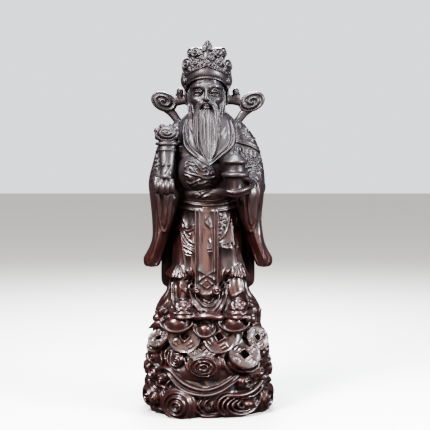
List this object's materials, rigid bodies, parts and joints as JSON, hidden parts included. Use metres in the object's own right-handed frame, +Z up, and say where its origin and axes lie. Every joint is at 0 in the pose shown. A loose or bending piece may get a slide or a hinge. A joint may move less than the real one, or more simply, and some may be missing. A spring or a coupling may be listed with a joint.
{
  "type": "lu xing figure",
  "caption": "Standing East Asian star god of rank in winged hat and robes, with sceptre and lidded jar, on a heap of clouds, coins and ingots.",
  "frame": {"origin": "centre of the flat underside", "axes": "+Z up, the figure faces -Y, and +X is on the right of a viewer who faces it"},
  "size_m": [0.1, 0.078, 0.28],
  "materials": {
    "resin": "dark rosewood coloured cast resin, polished, with blacker recesses"
  },
  "bodies": {
    "root": {"figure": "resin"}
  },
  "joints": []
}
